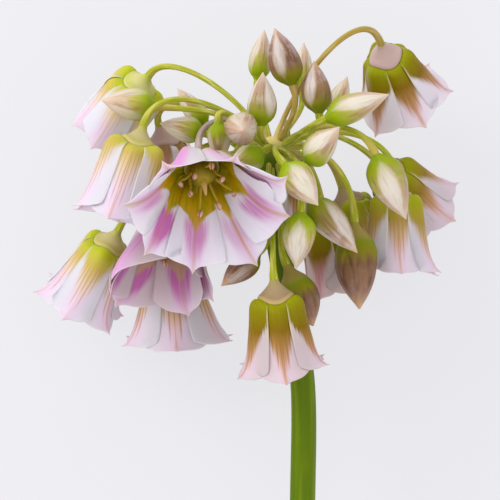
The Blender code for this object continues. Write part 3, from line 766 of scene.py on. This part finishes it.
def grow(name, lines, group, **inputs):
    """Runs the tree on the lines and gives its result as a plain smooth mesh object."""
    guide = draw_lines(name + "_lines", lines)
    growth = guide.modifiers.new("growth", "NODES")
    growth.node_group = group
    sockets = {s.name: s.identifier for s in group.interface.items_tree if s.in_out == "INPUT"}
    for label, value in inputs.items():
        growth[sockets[label.replace("_", " ")]] = value
    graph = bpy.context.evaluated_depsgraph_get()
    mesh = bpy.data.meshes.new_from_object(guide.evaluated_get(graph), depsgraph=graph)
    guide.modifiers.remove(growth)
    bpy.data.objects.remove(guide)
    mesh.name = name
    mesh.shade_smooth()
    return new_object(name, mesh)


# The bells.


def tepal_line(bell, own, off):
    """Radius, height and slope of a tepal at even shares of its length, a column for each off."""
    shares = np.linspace(0.0, 1.0, 201)[:, None]
    turn = smooth(shares, 0.0, bell.round)
    flare = np.clip((shares - FLARE) / (1 - FLARE), 0.0, 1.0) ** 1.3
    curl = own.curl - own.droop * off**2
    degrees = ROOT_SLOPE + (own.spread - ROOT_SLOPE) * turn + (curl - own.spread) * flare
    slope = np.radians(degrees + own.lip * smooth(shares, 0.80, 1.0) * np.exp(-off / 0.4))
    middle = (slope[1:] + slope[:-1]) / 2
    step = bell.tepal * own.length / (len(shares) - 1)
    start = np.zeros((1, slope.shape[1]))
    radius = THROAT + np.vstack([start, np.cumsum(step * np.sin(middle), axis=0)])
    height = RECEPTACLE + GAP + np.vstack([start, np.cumsum(step * np.cos(middle), axis=0)])
    return shares[:, 0], radius, height, slope


def lift_of(angle, count, sizes):
    """How far the shoulder stands up towards the pedicel; most in the middle of outer tepals."""
    return sizes.shoulder_lift / MM * (0.5 + 0.5 * np.cos(count * angle / 2))


def tepal_sheet(bell, number, own, sizes, chance):
    """One tepal as a thin closed shell: its points in mm, its faces and its fields."""
    rows, columns = 48, 33
    is_outer = number % 2 == 0
    even = np.linspace(-1.0, 1.0, columns)
    across = (np.sign(even) * np.abs(even) ** 1.25)[None, :]
    level = np.linspace(0.0, 1.0, rows)[:, None] ** 0.9
    off = np.abs(across)
    rim = 1 - sizes.point * (1 - np.exp(-off / 0.09)) - sizes.notch * own.notch * off**2.4
    share = level * rim
    shares, *lines = tepal_line(bell, own, off)
    radius, height, slope = (
        np.stack([np.interp(share[:, i], shares, line[:, i]) for i in range(columns)], -1)
        for line in lines
    )

    pitch = math.pi / bell.count
    narrowing = np.interp(share, (0.0, 0.10, 0.35, 0.75, 1.0), (0.95, 1.0, 1.04, 1.02, 0.90))
    centre = 2 * math.pi * number / bell.count
    middle = centre + math.radians(own.turn) * smooth(share, 0.0, 0.9)
    angle = middle + across * pitch * own.width * narrowing
    fluting = np.interp(share, (0.0, 0.12, 0.5, 1.0), (0.0, 0.40, 0.20, 0.16))
    bulge = fluting * sizes.fluting / MM * np.cos(bell.count * (angle - middle))
    fold = own.fold * smooth(share, 0.42, 0.95) * np.exp(-off / 0.30)
    step = sizes.layer / MM if is_outer else -sizes.layer / MM
    layer = step * np.minimum(level / 0.1, 1.0) * (1 - 0.6 * off**2)
    free = smooth(share, 0.55, 1.0)
    wave = np.sin(3.1 * across + chance[0] + 4.0 * share)
    wave = wave + 0.3 * np.sin(6.1 * across + chance[1]) * off
    ripple = sizes.ripple / MM * free * wave
    out = bulge + fold + layer + ripple
    radius = radius + out * np.cos(slope)
    height = height - out * np.sin(slope)
    lift = lift_of(angle - middle + centre, bell.count, sizes)
    height = height - lift * (1 - smooth(share, 0.0, 0.35)) * (1 + 0.5 * smooth(share, 0.0, 0.06))
    sheet = np.stack([radius * np.cos(angle), radius * np.sin(angle), height], -1)

    normal = np.cross(np.gradient(sheet, axis=1), np.gradient(sheet, axis=0))
    normal /= np.linalg.norm(normal, axis=-1, keepdims=True)
    thick = sizes.thickness / MM * (1 - 0.55 * np.maximum(off**3, level**4 * np.ones_like(off)))
    offset = normal * (thick / 2)[..., None]
    points = np.concatenate([(sheet + offset).reshape(-1, 3), (sheet - offset).reshape(-1, 3)])
    many = rows * columns
    fields = {
        "across": np.tile((across * np.ones_like(share)).ravel(), 2),
        "along": np.tile(share.ravel(), 2),
        "inside": np.repeat((0.0, 1.0), many),
    }
    even_fields = {"tone": bell.tone, "soft": bell.soft, "own": chance[2]}
    even_fields |= {"blush": own.blush, "cup": own.cup, "fade": own.fade}
    fields |= {name: np.full(2 * many, value) for name, value in even_fields.items()}
    return points, shell_faces(rows, columns), fields


def tepals_of(bell, random):
    """The bell's tepals, each a little different."""
    if bell.name in UNEVEN_TEPALS:
        return UNEVEN_TEPALS[bell.name]
    made = []
    for number in range(bell.count):
        sway, longer, opened, curled, wider, folded, lipped, red = random.uniform(-1.0, 1.0, 8)
        made.append(
            Tepal(
                turn=3.5 * sway,
                length=1 + 0.03 * longer,
                spread=bell.spread + 1.5 * opened,
                curl=bell.curl + 6 * curled,
                width=(1.26 if number % 2 == 0 else 1.48) + 0.05 * wider,
                fold=0.35 + 0.15 * folded,
                lip=32 + 10 * lipped,
                droop=6 * red,
                cup=0.02 * sway,
                blush=bell.blush + 0.15 * red,
                fade=bell.fade + 0.03 * wider,
            )
        )
    return made


def build_tepals(bell, sizes, material):
    """All the tepals of a bell as one piece."""
    random = np.random.default_rng(int(bell.name[-2:]))
    points, faces, fields, many = [], [], {}, 0
    for number, own in enumerate(tepals_of(bell, random)):
        chance = random.uniform(0.0, 6.28, 3)
        part, part_faces, part_fields = tepal_sheet(bell, number, own, sizes, chance)
        points.append(part)
        faces += (part_faces + many).tolist()
        many += len(part)
        for field, values in part_fields.items():
            fields.setdefault(field, []).append(values)
    laid = placed(np.concatenate(points), flower_matrix(bell))
    laid[:, 2] = np.maximum(laid[:, 2], 0.02 * MM)
    fields = {field: np.concatenate(values) for field, values in fields.items()}
    piece = make_piece(bell.name + "_petals", laid, faces, fields, material)
    hand_over(piece, "tepal_pink_white", bell.name + "_tepals")


# Radius and height of the receptacle, the ovary and the style, in mm from the seat.
HEART_LINE = (
    (0.84, -0.1), (1.02, 0.6), (1.60, 1.4), (2.45, 2.3), (3.20, 3.2), (3.56, 3.8), (3.50, 4.25),
    (3.05, 4.6), (2.55, 5.2), (2.60, 6.2), (2.15, 7.3), (1.05, 7.95), (0.66, 8.5), (0.50, 10.0),
    (0.28, 11.8), (0.08, 12.6),
)


def build_heart(bell, sizes, material):
    """Receptacle, ovary and style in one turned skin."""
    sides = 60
    line = through(HEART_LINE, 4)
    heights = line[:, 1:]
    angles = np.arange(sides) * 2 * math.pi / sides
    pods = 0.10 * smooth(heights, 4.9, 5.8) * (1 - smooth(heights, 7.4, 8.0))
    reach = line[:, :1] * (1 + pods * np.cos(3 * angles))
    shoulder = smooth(heights, 2.0, 3.6) * (1 - smooth(heights, 4.25, 4.6))
    height = heights - shoulder * lift_of(angles, bell.count, sizes)
    points = turned_points(reach, height, line[0, 1], line[-1, 1] + 0.05)
    level = np.append(np.repeat(line[:, 1], sides), (line[0, 1], line[-1, 1]))
    fields = {"level": level, "tone": np.full(len(points), bell.tone)}
    laid = placed(points, flower_matrix(bell))
    faces = ring_faces(*reach.shape)
    piece = make_piece(bell.name + "_receptacle", laid, faces, fields, material)
    hand_over(piece, "heart_mauve_green", bell.name + "_heart")


def stamen_lines(bell, sizes):
    """A line for each stamen from the foot of the ovary to its anther, in the plant's mm."""
    random = np.random.default_rng(100 + int(bell.name[-2:]))
    opening = min(bell.spread / 20.0, 1.6)
    place = np.array(flower_matrix(bell))
    lines = []
    for number in range(bell.count):
        angle = 2 * math.pi * (number + 0.5) / bell.count + random.uniform(-0.12, 0.12)
        reach = 3.0 + 1.6 * opening + random.uniform(-0.3, 0.3)
        far = 11.6 + random.uniform(-0.5, 0.5)
        if bell.name == "bell_01":
            degrees, reach = FRONT_STAMENS[number]
            angle, far = math.radians(degrees), 11.0
        knee = 0.55 * (reach + 1.9)
        corners = [(1.9, 5.2), (2.6, 6.9), (knee, 8.8), (reach - 0.1, far - 1.2), (reach, far)]
        bend = through(corners, 5)
        flat = np.stack(
            [bend[:, 0] * math.cos(angle), bend[:, 0] * math.sin(angle), bend[:, 1]], -1
        )
        share = np.linspace(0.0, 1.0, len(bend))
        thick = sizes.filament_radius / MM * (1 - 0.64 * share**0.7)
        lines.append(np.c_[flat @ place[:3, :3].T + place[:3, 3], thick])
    return lines


# The buds.


BUD_TWIST = 14.0  # degrees that a bud's seams turn round from its foot to its tip
SEAM_ANGLE = 61.0  # half of what an outer tepal covers at its root, in degrees round the bud
# Height and radius along a young bud and along an old one, as shares of its own.
BODY_LINE = (
    (0.05, 0.50), (0.11, 0.74), (0.20, 0.92), (0.32, 1.0), (0.46, 0.97),
    (0.60, 0.83), (0.74, 0.60), (0.86, 0.33), (0.95, 0.12), (0.99, 0.04),
)
OLD_BODY = (
    (0.06, 0.96), (0.2, 1.0), (0.4, 0.97), (0.6, 0.8), (0.78, 0.5), (0.92, 0.2), (0.99, 0.05),
)


def build_bud(bud, material):
    """Three keeled outer tepals closed over the inner ones, which show between them."""
    old = bud.name in OLD_BUDS
    cone = RECEPTACLE if old else 0.0
    body = bud.length - cone
    corners = [(0.82, -0.1)]
    if old:
        corners += [(1.0, 0.7), (0.45 * bud.radius, 1.8), (0.72 * bud.radius, 2.9)]
        corners += [(0.86 * bud.radius, 3.8)]
    corners += [(r * bud.radius, cone + u * body) for u, r in (OLD_BODY if old else BODY_LINE)]
    line = through(corners, 5)
    sides = 90
    angles = np.arange(sides) * 2 * math.pi / sides
    share = np.clip((line[:, 1] - cone) / body, 0.0, 1.0)[:, None]
    twist = math.radians(BUD_TWIST) * share + math.radians(bud.turn)
    third = 2 * math.pi / 3
    off = np.abs((angles[None, :] - twist + third / 2) % third - third / 2)
    lens = np.sin(math.pi * np.clip((share - 0.12) / 0.86, 0.0, 1.0) ** 1.15) ** 0.8
    half = math.radians(SEAM_ANGLE) - math.radians(38 - 14 * bud.tone) * lens
    edge = off / half
    raised = 0.075 * smooth(share, 0.02, 0.2) * (1 - 0.4 * smooth(share, 0.8, 1.0))
    over = raised * (1 - smooth(edge, 0.93, 1.03))
    keel = 0.06 * smooth(share, 0.05, 0.4) * np.exp(-((off / 0.14) ** 2))
    crease = -0.035 * np.exp(-(((edge - 1.05) / 0.06) ** 2)) * smooth(share, 0.05, 0.2)
    reach = line[:, :1] * (0.96 + over + keel + crease)
    height = line[:, 1:] * np.ones_like(reach)
    points = turned_points(reach, height, line[0, 1], bud.length)
    fields = {
        "across": np.append(np.minimum(edge, 2.0).ravel(), (0.0, 0.0)),
        "along": np.append((share * np.ones_like(edge)).ravel(), (0.0, 1.0)),
        "tone": np.full(len(points), bud.tone),
        "blush": np.full(len(points), bud.pale),
        "own": np.full(len(points), float(bud.name[-2:])),
    }
    height = np.append(np.repeat(line[:, 1], sides), (0.0, bud.length))
    fields["cone"] = (1 - smooth(height, 2.6, 4.4)) if old else np.zeros(len(points))
    around = np.zeros((len(points), 3))
    around[:-2, 0] = np.tile(np.cos(angles), len(line))
    around[:-2, 1] = np.tile(np.sin(angles), len(line))
    fields["around"] = around
    laid = placed(points, flower_matrix(bud))
    piece = make_piece(bud.name + "_petals", laid, ring_faces(*reach.shape), fields, material)
    hand_over(piece, "bud_cream_brown", bud.name)


# The scape and the pedicels.

# The stripes and the worn patches of each kind of pedicel.
PEDICEL_TINTS = {
    "green_pedicels": (colour(208, 202, 108), colour(192, 170, 90)),
    "tan_pedicels": (colour(194, 170, 104), colour(186, 146, 96)),
    "mauve_pedicels": (colour(196, 178, 168), colour(180, 150, 150)),
}
TINTED_PEDICELS = {"bell_01": "mauve_pedicels", "bell_11": "tan_pedicels", "bud_01": "tan_pedicels"}


def pedicel_line(flower, sizes):
    """Rows of (x, y, z, radius) in mm from the knob over to the flower's seat."""
    seat = seat_of(flower)
    axis = axis_of(flower)
    rise = math.radians(flower.rise)
    level = Vector((seat.x, seat.y, 0.0)).normalized()
    setting_out = level * math.cos(rise) + Vector((0.0, 0.0, math.sin(rise)))
    start = setting_out * 0.5
    leave = start + setting_out * (0.45 * seat.length)
    arrive = seat - axis * flower.hook
    neck = seat - axis * 0.8
    times = np.linspace(0.0, 1.0, 33)[:, None]
    centres = bezier(*(np.array(v) for v in (start, leave, arrive, neck)), times)
    centres = np.vstack([centres, np.array(seat + axis * 0.1)])
    share = np.append(times.ravel(), 1.0)
    thick = sizes.pedicel_radius + (sizes.pedicel_end - sizes.pedicel_radius) * share**6
    return np.c_[centres, thick / MM]


def scape_line(sizes):
    """Rows of (x, y, z, radius) in mm from the cut end up to the top of the knob."""
    line = through([grown((right, 0.0, up)) for right, up in reversed(STEM_SWAY)], 10)
    dome = [(0.0, 0.0, height) for height in (0.7, 1.3, 1.9, 2.4, 2.8, 3.1)]
    line = np.vstack([line, dome])
    up = line[:, 2]
    near = np.exp(-((up / 5.0) ** 2))
    taper = 0.35 * np.clip(1 + np.minimum(up, 0.0) / 60.0, 0.0, 1.0)
    thin = sizes.stem_radius / MM - taper
    thick = thin + (sizes.knob_radius / MM - thin) * near
    round_off = np.sqrt(np.clip(1 - (np.maximum(up, 0.0) / 3.2) ** 2, 0.0, 1.0))
    return np.c_[line, thick * round_off]


# What a user can change.


def length(name, description, millimetres):
    return bpy.props.FloatProperty(
        name=name, description=description, default=millimetres * MM, unit="LENGTH", precision=5
    )


def factor(name, description, default):
    return bpy.props.FloatProperty(
        name=name, description=description, default=default, min=0.0, max=1.0, subtype="FACTOR"
    )


def strength(name, description, default, unit="NONE"):
    return bpy.props.FloatProperty(
        name=name, description=description, default=default, min=0.0, unit=unit
    )


def paint(name, description, *channels):
    limits = {"min": 0.0, "max": 1.0, "size": 3, "subtype": "COLOR"}
    return bpy.props.FloatVectorProperty(
        name=name, description=description, default=colour(*channels), **limits
    )


class StemSizes(bpy.types.PropertyGroup):
    stem_radius: length("Scape Radius", "Radius of the thick stalk", 2.58)
    knob_radius: length("Knob Radius", "Radius of the knob under the head", 3.3)
    pedicel_radius: length("Pedicel Radius", "Radius of a flower's thin stalk", 0.55)
    pedicel_end: length("Pedicel End", "Radius of a flower's stalk at the flower", 0.84)


class BellSizes(bpy.types.PropertyGroup):
    thickness: length("Tepal Thickness", "Thickness of a tepal's middle", 0.28)
    layer: length("Layer Step", "Half the step between the two layers of tepals", 0.24)
    shoulder_lift: length("Shoulder Lift", "How far the outer shoulders stand up", 0.8)
    fluting: length("Fluting", "How far the middles stand out and the seams sink", 1.0)
    ripple: length("Ripple", "How far the rim waves", 0.3)
    point: factor("Point", "The share of a tepal that its sharp point takes", 0.09)
    notch: factor("Notch", "How much shorter a tepal is at its edges", 0.11)


class StamenSizes(bpy.types.PropertyGroup):
    filament_radius: length("Filament Radius", "Radius of a filament at its foot", 0.42)
    anther_length: length("Anther Length", "Half the length of an anther", 0.8)


class FlowerColours(bpy.types.PropertyGroup):
    white: paint("White", "The inside of the tepals", 240, 237, 243)
    lilac: paint("Lilac", "The tinge down the middle of each tepal", 222, 194, 220)
    pink: paint("Pink", "The stripes on the outside of the tepals", 222, 150, 210)
    magenta: paint("Magenta", "The stripes on the inside of the tepals", 200, 116, 180)
    cream: paint("Cream", "The inner tepals of a young bud", 226, 218, 198)
    scape: paint("Scape", "The thick stalk", 88, 112, 0)
    green_pedicels: paint("Green Pedicels", "Most of the thin stalks", 156, 164, 18)
    tan_pedicels: paint("Tan Pedicels", "The thin stalks that have turned tan", 166, 142, 60)
    mauve_pedicels: paint("Mauve Pedicels", "The thin stalk of the front bell", 170, 146, 140)


class StageSizes(bpy.types.PropertyGroup):
    floor_side: length("Floor Side", "Side of the square floor", 4000.0)
    sky: strength("Sky", "Brightness of the even light from all round", 0.93)
    window: strength("Window", "Strength of the soft main light", 1.9, "POWER")
    fill: strength("Fill", "Strength of the light that fills shade", 0.4, "POWER")


# The operators.


class HONEY_OT_stage(bpy.types.Operator):
    """Lays the pale floor and sets the soft lights and the camera"""

    bl_idname = "honey.stage"
    bl_label = "Stage"

    def execute(self, context):
        sizes = context.scene.honey_stage
        half = sizes.floor_side / 2
        corners = [(-half, -half, 0), (half, -half, 0), (half, half, 0), (-half, half, 0)]
        mesh = bpy.data.meshes.new("floor")
        mesh.from_pydata(corners, [], [(0, 1, 2, 3)])
        mesh.materials.append(floor_finish())
        new_object("floor", mesh)

        world = bpy.data.worlds.new("soft_sky")
        world.use_nodes = True
        sky = world.node_tree.nodes["Background"]
        sky.inputs["Color"].default_value = (*colour(250, 250, 254), 1.0)
        sky.inputs["Strength"].default_value = sizes.sky
        context.scene.world = world
        self.add_lamp("window", WINDOW_PLACE, sizes.window)
        self.add_lamp("fill", FILL_PLACE, sizes.fill)

        camera = bpy.data.cameras.new("camera")
        camera.lens = CAMERA_LENS
        camera.sensor_width = CAMERA_SENSOR
        camera.clip_start = 0.01
        eye = new_object("camera", camera)
        right, up = PICTURE_CENTRE
        upright = Matrix.Rotation(math.pi / 2, 4, "X")
        spot = grown((right, CAMERA_DISTANCE, up)) * MM
        eye.matrix_world = Matrix.Translation(KNOB) @ TURN @ Matrix.Translation(spot) @ upright
        context.scene.camera = eye
        context.scene.view_settings.view_transform = "Standard"
        return {"FINISHED"}

    @staticmethod
    def add_lamp(name, place, power):
        """A square soft light at a place given as right, front and up of the knob."""
        light = bpy.data.lights.new(name, "AREA")
        light.size = LAMP_SIDE * MM
        light.energy = power
        lamp = new_object(name, light)
        spot = PLANT @ grown(place)
        aim = (spot - KNOB).to_track_quat("Z", "Y").to_matrix().to_4x4()
        lamp.matrix_world = Matrix.Translation(spot) @ aim


class HONEY_OT_scape(bpy.types.Operator):
    """Grows the scape from its cut end to the knob"""

    bl_idname = "honey.scape"
    bl_label = "Scape"

    def execute(self, context):
        sizes = context.scene.honey_stem
        leaf = tuple(context.scene.honey_colours.scape)
        tints = colour(114, 134, 18), colour(98, 118, 0)
        material = stalk_finish("scape_skin", leaf, *tints, (0.975, 1.0))
        skin = {"Sides": 54, "Ribs": 7, "Rib_Depth": 0.012, "Material": material}
        piece = grow("scape_stalk", [scape_line(sizes)], stalk_group(), **skin)
        hand_over(piece, "stem_green", "scape")
        return {"FINISHED"}


class HONEY_OT_pedicels(bpy.types.Operator):
    """Grows a pedicel from the knob to each flower and bud"""

    bl_idname = "honey.pedicels"
    bl_label = "Pedicels"

    def execute(self, context):
        sizes = context.scene.honey_stem
        for name, tints in PEDICEL_TINTS.items():
            leaf = tuple(getattr(context.scene.honey_colours, name))
            material = stalk_finish(name + "_skin", leaf, *tints, (0.22, 0.0))
            skin = {"Sides": 16, "Ribs": 5, "Rib_Depth": 0.02, "Material": material}
            lines = [
                pedicel_line(flower, sizes)
                for flower in BELLS + BUDS
                if TINTED_PEDICELS.get(flower.name, "green_pedicels") == name
            ]
            piece = grow(name, lines, stalk_group(), **skin)
            hand_over(piece, "stem_green", "scape")
        return {"FINISHED"}


class HONEY_OT_tepals(bpy.types.Operator):
    """Builds the tepals of every open bell"""

    bl_idname = "honey.tepals"
    bl_label = "Tepals"

    def execute(self, context):
        material = tepal_finish(context.scene.honey_colours)
        for bell in BELLS:
            build_tepals(bell, context.scene.honey_bell, material)
        return {"FINISHED"}


class HONEY_OT_hearts(bpy.types.Operator):
    """Builds the receptacle, ovary and style of every open bell"""

    bl_idname = "honey.hearts"
    bl_label = "Hearts"

    def execute(self, context):
        material = heart_finish()
        for bell in BELLS:
            build_heart(bell, context.scene.honey_bell, material)
        return {"FINISHED"}


class HONEY_OT_stamens(bpy.types.Operator):
    """Grows the stamens of every open bell"""

    bl_idname = "honey.stamens"
    bl_label = "Stamens"

    def execute(self, context):
        sizes = context.scene.honey_stamen
        yellow = colour(164, 138, 30), colour(188, 164, 60), colour(188, 164, 60)
        beige = colour(206, 158, 130), colour(232, 192, 166), colour(132, 88, 60)
        filament = stamen_finish("filament_skin", *yellow)
        anther = stamen_finish("anther_skin", *beige)
        group = stamen_tree()
        for seed, bell in enumerate(BELLS):
            parts = {"Filament": filament, "Anther": anther, "Seed": seed}
            parts |= {"Filament_Sides": 10, "Anther_Length": sizes.anther_length}
            piece = grow(bell.name + "_stamens", stamen_lines(bell, sizes), group, **parts)
            hand_over(piece, "heart_mauve_green", bell.name + "_heart")
        return {"FINISHED"}


class HONEY_OT_buds(bpy.types.Operator):
    """Builds every closed bud"""

    bl_idname = "honey.buds"
    bl_label = "Buds"

    def execute(self, context):
        material = bud_finish(context.scene.honey_colours)
        for bud in BUDS:
            build_bud(bud, material)
        return {"FINISHED"}


def stalk_group():
    return bpy.data.node_groups.get("stalk") or stalk_tree()


STEPS = (
    HONEY_OT_stage,
    HONEY_OT_scape,
    HONEY_OT_pedicels,
    HONEY_OT_tepals,
    HONEY_OT_hearts,
    HONEY_OT_stamens,
    HONEY_OT_buds,
)


class HONEY_PT_panel(bpy.types.Panel):
    """Lists the pieces of the stem"""

    bl_idname = "HONEY_PT_panel"
    bl_label = "Honey Garlic"
    bl_space_type = "VIEW_3D"
    bl_region_type = "UI"
    bl_category = "Honey Garlic"

    def draw(self, context):
        column = self.layout.column()
        for group in GROUPS:
            values = getattr(context.scene, group)
            for name in values.__annotations__:
                column.prop(values, name)
        for step in STEPS:
            column.operator(step.bl_idname)


GROUPS = {
    "honey_stem": StemSizes,
    "honey_bell": BellSizes,
    "honey_stamen": StamenSizes,
    "honey_colours": FlowerColours,
    "honey_stage": StageSizes,
}
CLASSES = (*GROUPS.values(), *STEPS, HONEY_PT_panel)


def register():
    for kind in CLASSES:
        bpy.utils.register_class(kind)
    for name, kind in GROUPS.items():
        setattr(bpy.types.Scene, name, bpy.props.PointerProperty(type=kind))


def unregister():
    for name in GROUPS:
        delattr(bpy.types.Scene, name)
    for kind in reversed(CLASSES):
        bpy.utils.unregister_class(kind)


def main():
    register()
    bpy.ops.honey.stage()
    bpy.ops.honey.scape()
    bpy.ops.honey.pedicels()
    bpy.ops.honey.tepals()
    bpy.ops.honey.hearts()
    bpy.ops.honey.stamens()
    bpy.ops.honey.buds()


if __name__ == "__main__":
    main()
